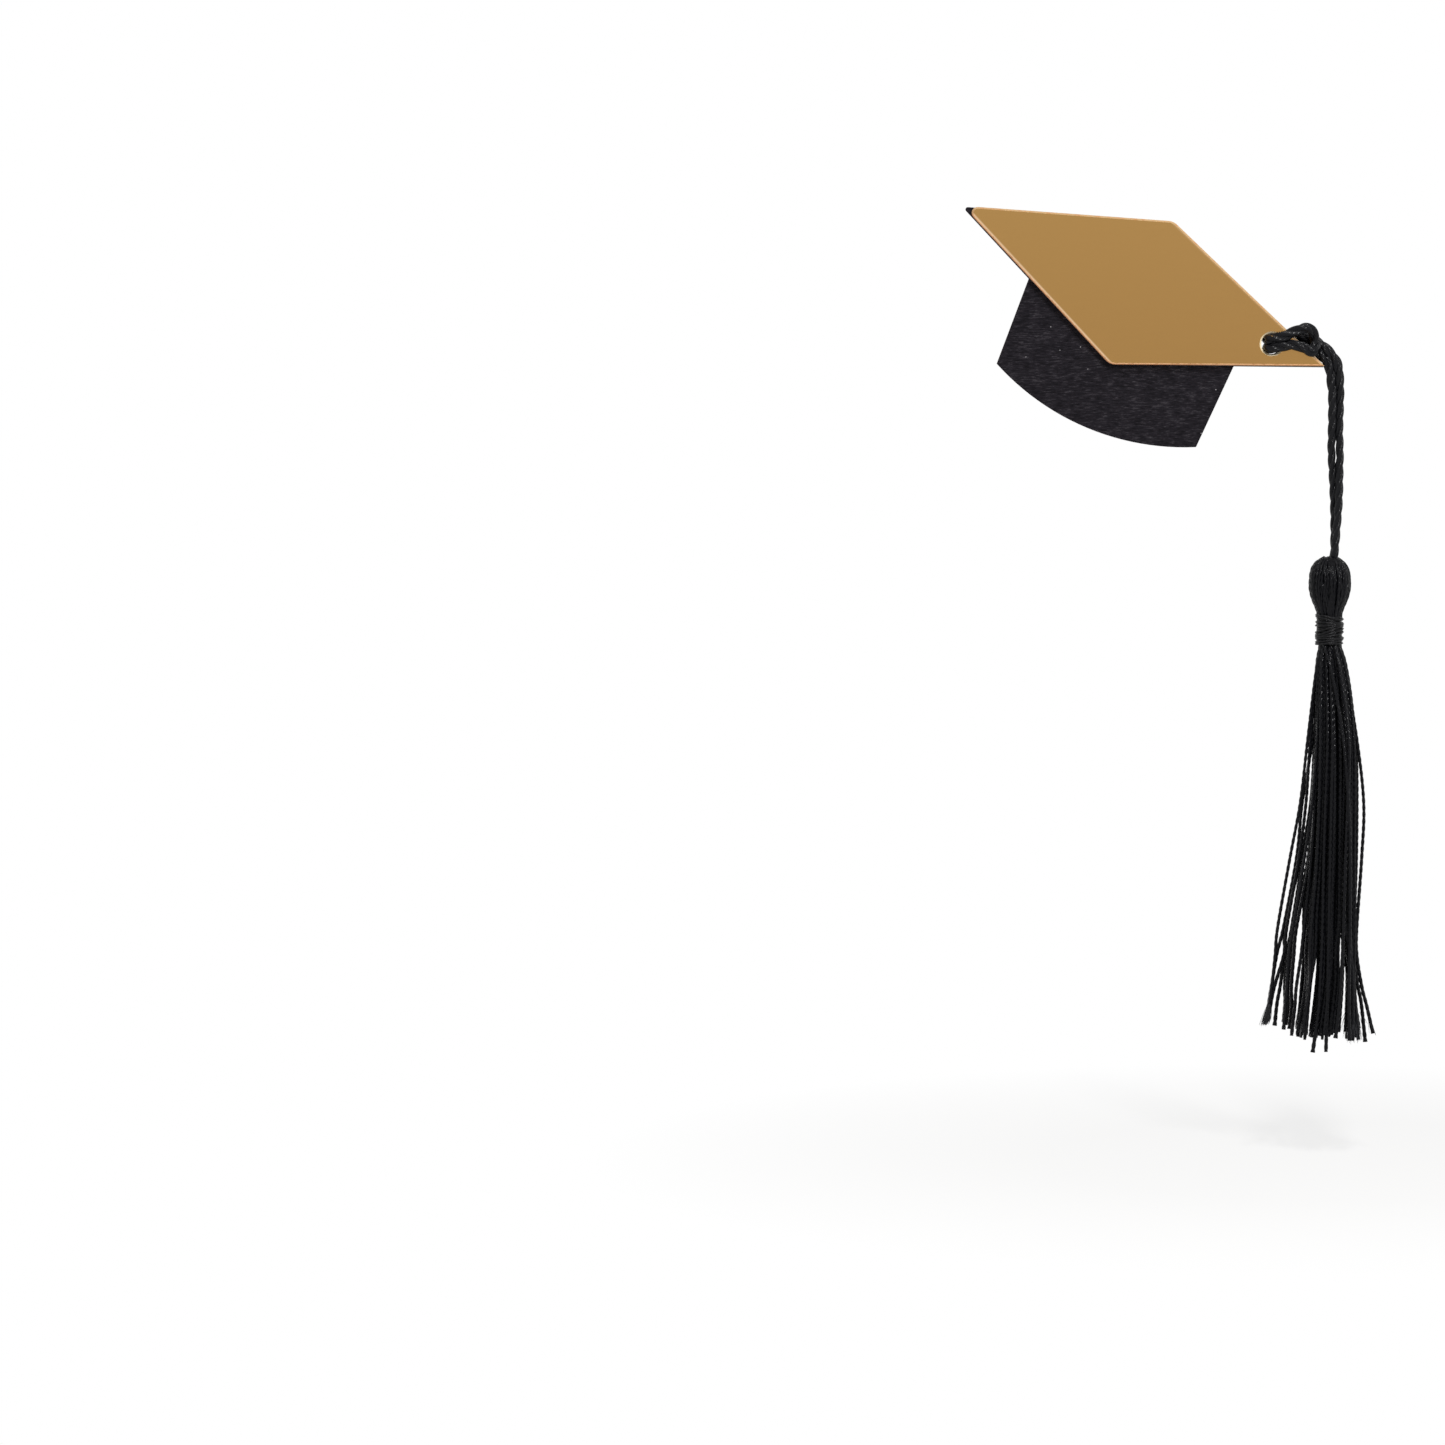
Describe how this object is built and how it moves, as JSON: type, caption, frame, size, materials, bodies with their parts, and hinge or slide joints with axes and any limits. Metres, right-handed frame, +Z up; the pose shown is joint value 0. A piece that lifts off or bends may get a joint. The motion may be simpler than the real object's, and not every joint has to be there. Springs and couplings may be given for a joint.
{
  "type": "graduation cap ornament",
  "caption": "Flat layered graduation cap ornament: a black wooden cap outline, a gold mirror board on it, and a black tassel that swings on a cord hitched through the board's tip.",
  "frame": {"origin": "middle of the board's long diagonal, on the back face of the wooden panel", "axes": "+Z up as the tassel hangs, +X to the right towards the tassel, front of the cap faces -Y"},
  "size_m": [0.0871, 0.0217, 0.1818],
  "materials": {
    "black_plywood": "matt black print on fine-grained plywood, laser-cut edges",
    "adhesive": "double-sided film, only its edge can be seen",
    "gold_mirror_acrylic": "gold mirror face, flame-polished cut edges",
    "black_cord": "twisted rayon cord with a silky sheen",
    "black_yarn": "silky twisted rayon threads",
    "black_thread": "tightly wound rayon thread"
  },
  "bodies": {
    "cap": {"cap_panel": "black_plywood", "adhesive_film": "adhesive", "mirror_board": "gold_mirror_acrylic", "hitch_cord": "black_cord"},
    "shoulder": {"cord_shoulder": "black_cord"},
    "legs": {"inner_leg": "black_cord", "outer_leg": "black_cord"},
    "tassel": {"cord_knot": "black_cord", "tassel_head": "black_yarn", "neck_wrap": "black_thread", "tassel_skirt": "black_yarn"}
  },
  "joints": [
    {"name": "swing_side", "type": "hinge", "parent": "cap", "child": "shoulder", "pos_m": [0.04087, -0.00258, -0.01769], "axis": [0, -1, 0], "range_deg": [-40, 75]},
    {"name": "sway_fore_aft", "type": "hinge", "parent": "shoulder", "child": "legs", "pos_m": [0.04172, -0.00258, -0.02369], "axis": [-1, 0, 0], "range_deg": [-75, 75]},
    {"name": "tassel_tilt", "type": "hinge", "parent": "legs", "child": "tassel", "pos_m": [0.04097, -0.00258, -0.05694], "axis": [0, -1, 0], "range_deg": [-45, 45]}
  ]
}
